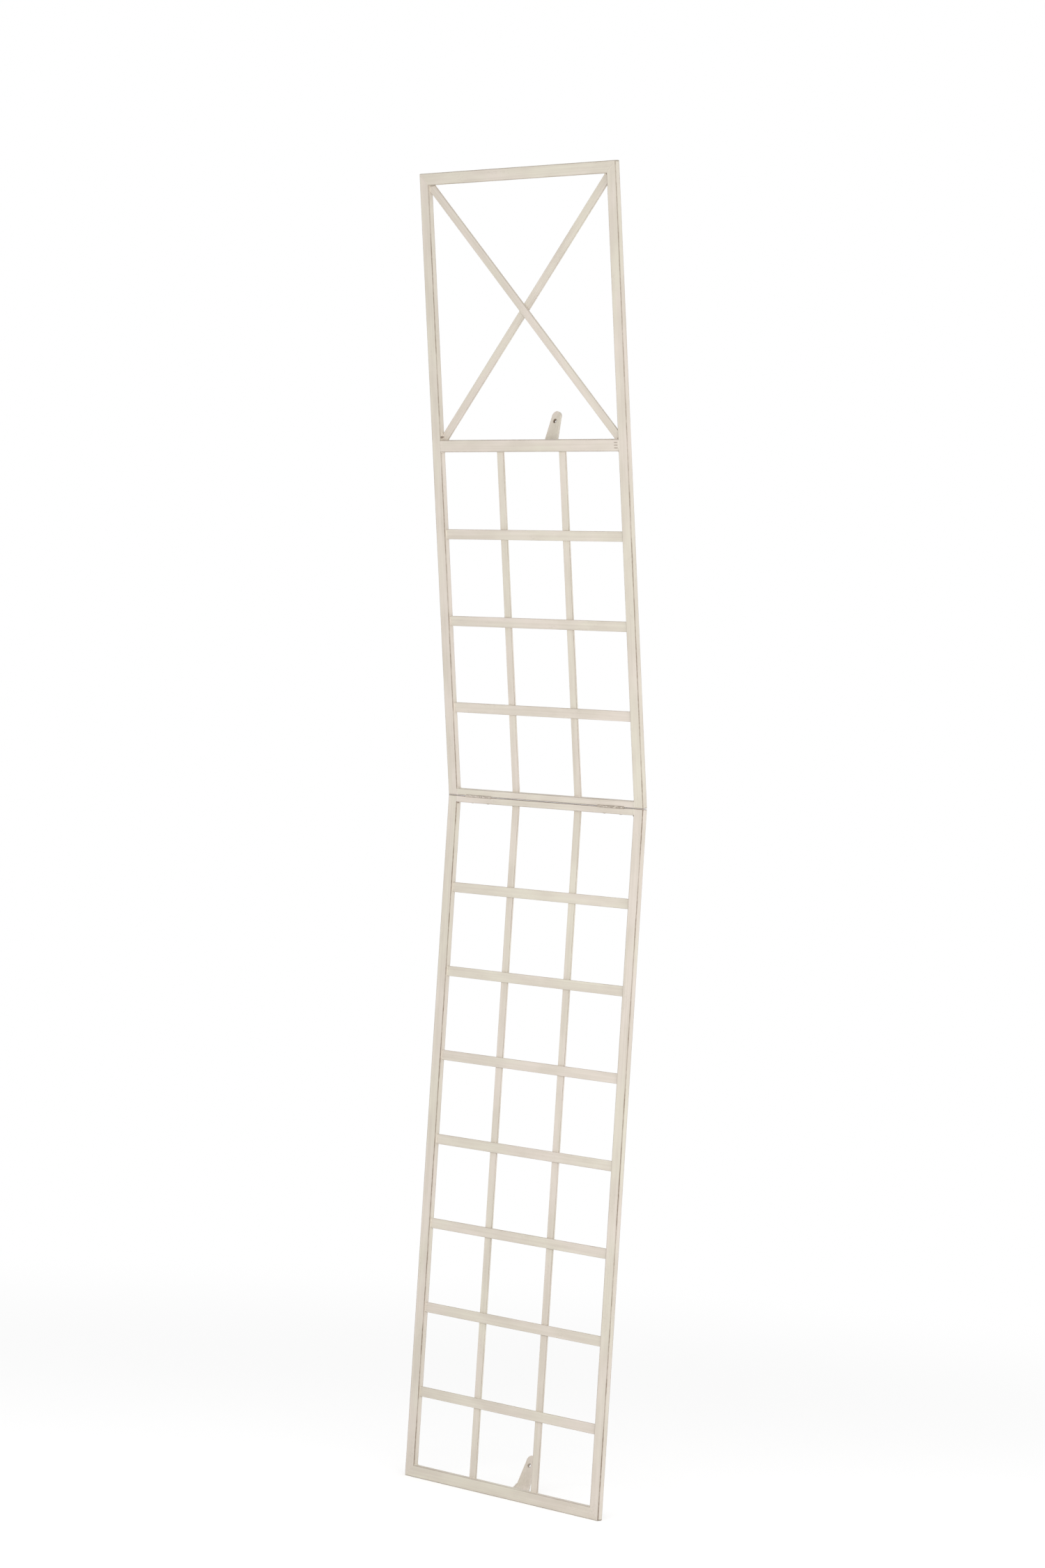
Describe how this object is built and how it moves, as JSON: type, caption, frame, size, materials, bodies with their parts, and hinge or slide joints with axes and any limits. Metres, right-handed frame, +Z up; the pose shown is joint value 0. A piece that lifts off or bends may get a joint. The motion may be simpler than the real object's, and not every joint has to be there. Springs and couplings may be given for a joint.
{
  "type": "folding espalier frame",
  "caption": "Tall narrow welded steel plant frame: a square lattice under a cross-braced top bay, folding at a level hinge line, with bent wall ears behind.",
  "frame": {"origin": "centre of the upper wall ear's screw hole, at mid-thickness of the strap", "axes": "+Z up along the plumb lower panel, +Y to the wall behind, +X to the right seen from the front"},
  "size_m": [0.394, 0.2216, 1.9618],
  "materials": {
    "tube_paint": "matte cream paint rubbed at the arrises",
    "lattice_paint": "matte cream paint rubbed at the arrises",
    "ear_paint": "matte cream paint",
    "hinge_paint": "matte cream paint, worn",
    "fastener_paint": "matte cream paint, worn",
    "plug_paint": "matte cream paint"
  },
  "bodies": {
    "upper_panel": {"brace_front": "lattice_paint", "brace_rear": "lattice_paint", "crossbar": "tube_paint", "left_hinge_pin": "fastener_paint", "left_hinge_upper_leaf": "hinge_paint", "right_hinge_pin": "fastener_paint", "right_hinge_upper_leaf": "hinge_paint", "top_bar": "tube_paint", "upper_hinge_bar": "tube_paint", "upper_hinge_rivets": "fastener_paint", "upper_left_rail": "tube_paint", "upper_left_upright": "lattice_paint", "upper_rail_plugs": "plug_paint", "upper_right_rail": "tube_paint", "upper_right_upright": "lattice_paint", "upper_rung_1": "lattice_paint", "upper_rung_2": "lattice_paint", "upper_rung_3": "lattice_paint", "upper_wall_ear": "ear_paint"},
    "lower_panel": {"bottom_bar": "tube_paint", "left_hinge_lower_leaf": "hinge_paint", "lower_hinge_bar": "tube_paint", "lower_hinge_rivets": "fastener_paint", "lower_left_rail": "tube_paint", "lower_left_upright": "lattice_paint", "lower_rail_plugs": "plug_paint", "lower_right_rail": "tube_paint", "lower_right_upright": "lattice_paint", "lower_rung_1": "lattice_paint", "lower_rung_2": "lattice_paint", "lower_rung_3": "lattice_paint", "lower_rung_4": "lattice_paint", "lower_rung_5": "lattice_paint", "lower_rung_6": "lattice_paint", "lower_rung_7": "lattice_paint", "lower_wall_ear": "ear_paint", "right_hinge_lower_leaf": "hinge_paint"}
  },
  "joints": [
    {"name": "fold", "type": "hinge", "parent": "upper_panel", "child": "lower_panel", "pos_m": [0, 0.02642, -0.56541], "axis": [-1, 0, 0], "range_deg": [-9.2, 170.8]}
  ]
}
